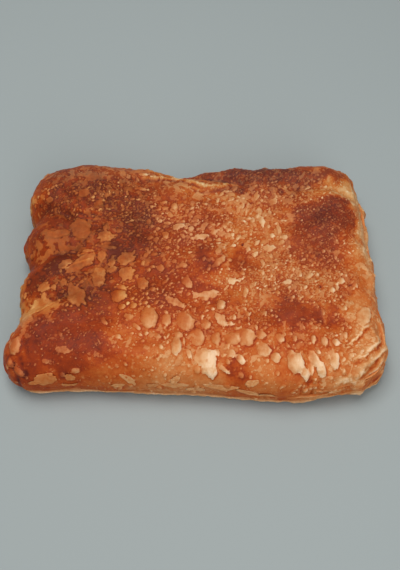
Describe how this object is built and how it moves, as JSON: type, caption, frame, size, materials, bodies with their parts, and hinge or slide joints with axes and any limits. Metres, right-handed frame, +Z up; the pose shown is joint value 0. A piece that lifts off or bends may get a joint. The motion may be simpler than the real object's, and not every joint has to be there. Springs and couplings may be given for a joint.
{
  "type": "bougatsa",
  "caption": "Uncut rectangular bougatsa: a baked phyllo parcel with a puffed, blistered golden-brown top, a lobed left side and a flat foot to rest on.",
  "frame": {"origin": "on the resting surface, under the middle of the parcel's box", "axes": "+Z up, +X along the long side to the picture's right, +Y across to the back edge"},
  "size_m": [0.1832, 0.1354, 0.0326],
  "materials": {
    "crust": "baked and buttered phyllo, satin: golden on the blisters and along the front, red-brown to dark brown on the swells"
  },
  "bodies": {
    "root": {"pastry": "crust"}
  },
  "joints": []
}
